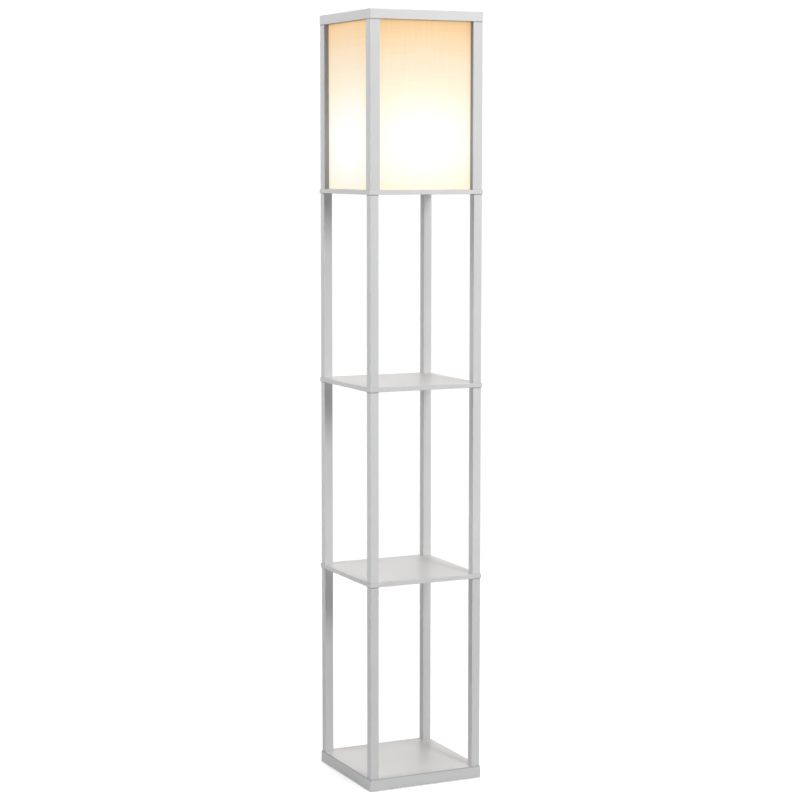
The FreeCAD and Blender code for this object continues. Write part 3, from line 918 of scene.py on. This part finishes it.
zinc_upright = metal("zinc_upright", marks_round_z, zinc_tones)
zinc_across = metal("zinc_across", marks_round_y, zinc_tones)
brass = metal("rolled_brass", marks_round_z, brass_tones)
dress(zinc_upright, "base_washers", "lower_shelf_studs", "middle_shelf_studs", "deck_studs",
      *[f"{tier}_post_inserts" for tier in tier_light_tones])
dress(zinc_across, "switch_shaft", "switch_bush", "bush_nut")
dress(brass, "centre_contact", "bulb_contact")
for piece in (bulb_cap, cross_screws, key_bolts):
    piece.data.materials.append(zinc_upright)
screw_sleeve.data.materials.append(brass)

# %% [markdown]
# Plastics and rubber
# The lampholder is moulded in white plastic with a fine spark-eroded texture, the switch block and
# the bulb's insulator in black, and the foot pads and the grommet are pale rubber. They are all
# cloudiness with different values: the relief's depth and the spread of gloss tell them apart.


# %% Mix plastics and rubber
def moulded(name, light, dark, smooth, rough, grain_scale, depth):
    """A moulded finish; grain scale is specks per metre and depth how high they stand."""
    material, tree, shader, place = new_finish(name)
    skin = place_group(tree, cloudiness, Place=place, Light=light, Dark=dark, Cloud_scale=35.0,
                       Speck_scale=grain_scale, Smooth=smooth, Rough=rough)
    set_node(shader, Base_Color=skin["Colour"], Roughness=skin["Roughness"], IOR=1.5)
    add_bump(tree, shader, skin["Relief"], depth)
    return material


holder_white = moulded("holder_white", light=(0.79, 0.78, 0.75, 1), dark=(0.765, 0.75, 0.715, 1),
                       smooth=0.24, rough=0.34, grain_scale=2600.0, depth=0.000012)
moulding_black = moulded("moulding_black", light=(0.035, 0.033, 0.031, 1), dark=(0.024, 0.023, 0.022, 1),
                         smooth=0.35, rough=0.50, grain_scale=2200.0, depth=0.000015)
soft_rubber = moulded("soft_rubber", light=(0.60, 0.60, 0.57, 1), dark=(0.53, 0.52, 0.49, 1),
                      smooth=0.70, rough=0.90, grain_scale=1400.0, depth=0.00004)
dress(holder_white, "holder_foot", "holder_shell", "switch_knob")
dress(moulding_black, "switch_base", "terminal_plate", "bulb_insulator")
dress(soft_rubber, "foot_pads", "cord_grommet")

# %% [markdown]
# Beech dowels
# The top frame stands on turned beech dowels. Beech is pinkish tan with fine dark flecks that run
# along the grain. A picture of wood would show its seam on something this round, so a noise
# stretched along the dowel gives the grain and a second, coarser one spaces out the flecks.

# %% Mix the beech
beech_dark = (0.50, 0.32, 0.18, 1)
beech_light = (0.64, 0.45, 0.28, 1)
fleck_colour = (0.34, 0.19, 0.10, 1)
grain_stretch = (900, 900, 30)
fleck_stretch = (1500, 1500, 220)
fleck_start = 0.60         # only the peaks of the noise are flecks
fleck_end = 0.70
least_roughness = 0.5
grain_roughness = 0.5      # added where the grain is lightest
grain_depth = 0.00005

beech_finish, tree, shader, place = new_finish("turned_beech")
grain = noise(tree, stretch(tree, place, grain_stretch), detail=3.0)
flecks = noise(tree, stretch(tree, place, fleck_stretch))
wood = blend_colours(tree, grade(tree, grain, noise_low, noise_high), beech_dark, beech_light)
wood = blend_colours(tree, grade(tree, flecks, fleck_start, fleck_end), wood, fleck_colour)
dryness = calculate(tree, "MULTIPLY_ADD", grain, grain_roughness, least_roughness)
set_node(shader, Base_Color=wood, Roughness=dryness)
add_bump(tree, shader, grain, grain_depth)
dress(beech_finish, "top_dowels")

# %% [markdown]
# Opal bulb
# The globe is glass coated white inside, so the filament is spread over the whole of it: brightest
# round the middle, warmer and dimmer towards the neck. A see-through shell with a filament would be
# slow and noisy; light given off by the surface, graded with height, looks the same.

# %% Light the bulb
glass_white = (0.85, 0.83, 0.78, 1)
neck_glow = (0.60, 0.38, 0.20, 1)
bulb_seen = 1.25
bulb_thrown = 10.0         # the deck and the frame's inside are lit by far more than a picture can show

opal_finish, tree, shader, place = new_finish("lit_opal_glass")
height = axes(tree, place)["Z"]
up_globe = grade(tree, height, globe_low.z, glow_centre.z, interpolation_type="SMOOTHSTEP")
coat = place_group(tree, cloudiness, Place=place, Light=(1.0, 0.90, 0.70, 1), Dark=(0.97, 0.86, 0.64, 1),
                   Cloud_scale=40.0, Speck_scale=1500.0, Smooth=0.10, Rough=0.18)
set_node(shader, Base_Color=glass_white, Roughness=coat["Roughness"], IOR=1.5,
         Emission_Color=blend_colours(tree, up_globe, neck_glow, coat["Colour"]),
         Emission_Strength=glow_strength(tree, bulb_seen, bulb_thrown))
dress(opal_finish, "bulb_globe")

# %% [markdown]
# Floor and backdrop
# A studio shot has a white surround. A wall would need its own lights and could show a horizon, so
# the floor is a disc that fades out into an even white sky. It is seen a little brighter than it is
# lit, as paper is in an overexposed shot, so that only a faint shadow is left round the base.

# %% Lay the floor
floor_radius = 4.0
floor_segments = 96
floor_fade_start = 0.7
floor_fade_end = 3.0
floor_paper = (0.85, 0.85, 0.85, 1)
floor_lift = 0.55
white = (1, 1, 1, 1)

bm = bmesh.new()
bmesh.ops.create_circle(bm, cap_ends=True, radius=floor_radius, segments=floor_segments)
floor_mesh = bpy.data.meshes.new("floor")
bm.to_mesh(floor_mesh)
bm.free()
floor = bpy.data.objects.new("floor", floor_mesh)
scene.collection.objects.link(floor)
floor_finish, tree, shader, place = new_finish("floor")
from_lamp = move(tree, "LENGTH", place)["Value"]
fade = grade(tree, from_lamp, floor_fade_start, floor_fade_end, 1.0, 0.0, interpolation_type="SMOOTHSTEP")
set_node(shader, Base_Color=floor_paper, Roughness=0.9, Alpha=fade, Emission_Color=white,
         Emission_Strength=glow_strength(tree, floor_lift, 0.0))
floor_mesh.materials.append(floor_finish)
print(f"floor {2 * floor_radius:.0f} m across, fading from {floor_fade_start} to {floor_fade_end} m")

# %% [markdown]
# Sky and lights
# The sky is white where it is looked at or mirrored, but it hardly lights the lamp, because light
# from all sides would flatten it. A tall strip of light in front draws the posts' soft shadows along
# the boards, and another at the left shades one post with the next. Broad panels at both sides give
# the faces their different tones, and one behind and one overhead keep the back and the top from
# going dark. A sun lamp would be simpler, but it draws hard shadows that a studio doesn't have.

# %% Hang the lights
sky_seen = 1.05            # white behind the lamp and in its gloss
sky_light = 0.03           # what the sky adds to matt surfaces

world = bpy.data.worlds.new("studio")
scene.world = world
world.use_nodes = True
tree = world.node_tree
tree.nodes.clear()
path = tree.nodes.new("ShaderNodeLightPath").outputs
shown = calculate(tree, "MAXIMUM", path["Is Camera Ray"], path["Is Glossy Ray"])
shown = calculate(tree, "MAXIMUM", shown, path["Is Transmission Ray"])
strength = grade(tree, shown, 0.0, 1.0, sky_light, sky_seen)
sky = add_node(tree, "ShaderNodeBackground", {"Color": white, "Strength": strength})
plug(tree, tree.nodes.new("ShaderNodeOutputWorld").inputs["Surface"], sky.outputs[0])


def soft_panel(name, place, aim, size, power):
    """A light of a width and height that faces the lamp's axis, unseen itself and in reflections."""
    light = bpy.data.lights.new(name, "AREA")
    light.shape = "RECTANGLE"
    light.size, light.size_y = size
    light.energy = power
    panel = bpy.data.objects.new(name, light)
    scene.collection.objects.link(panel)
    panel.location = place
    direction = Vector((0, 0, aim)) - Vector(place)
    panel.rotation_euler = direction.to_track_quat("-Z", "Y").to_euler()
    panel.visible_camera = False
    panel.visible_glossy = False
    print(f"{name}: {power} W from {direction.length:.2f} m away")


soft_panel("right_panel", place=(1.6, -1.9, 2.05), aim=1.2, size=(1.8, 1.8), power=16.5)
soft_panel("right_side_panel", place=(2.6, 0.1, 0.8), aim=0.8, size=(1.4, 1.4), power=8.5)
soft_panel("front_strip", place=(0.55, -3.2, 2.1), aim=1.2, size=(0.5, 1.2), power=43)
soft_panel("front_top_panel", place=(0.1, -1.5, 2.4), aim=1.2, size=(0.9, 0.9), power=7.5)
soft_panel("left_panel", place=(-1.6, 0.2, 2.2), aim=1.2, size=(0.9, 0.9), power=13)
soft_panel("left_low_strip", place=(-2.6, 0.17, 1.15), aim=1.0, size=(0.4, 1.4), power=11.5)
soft_panel("back_panel", place=(1.2, 2.6, 1.9), aim=1.0, size=(1.6, 1.6), power=31)
soft_panel("top_panel", place=(0.1, 0.1, 3.4), aim=1.2, size=(1.2, 1.2), power=11)
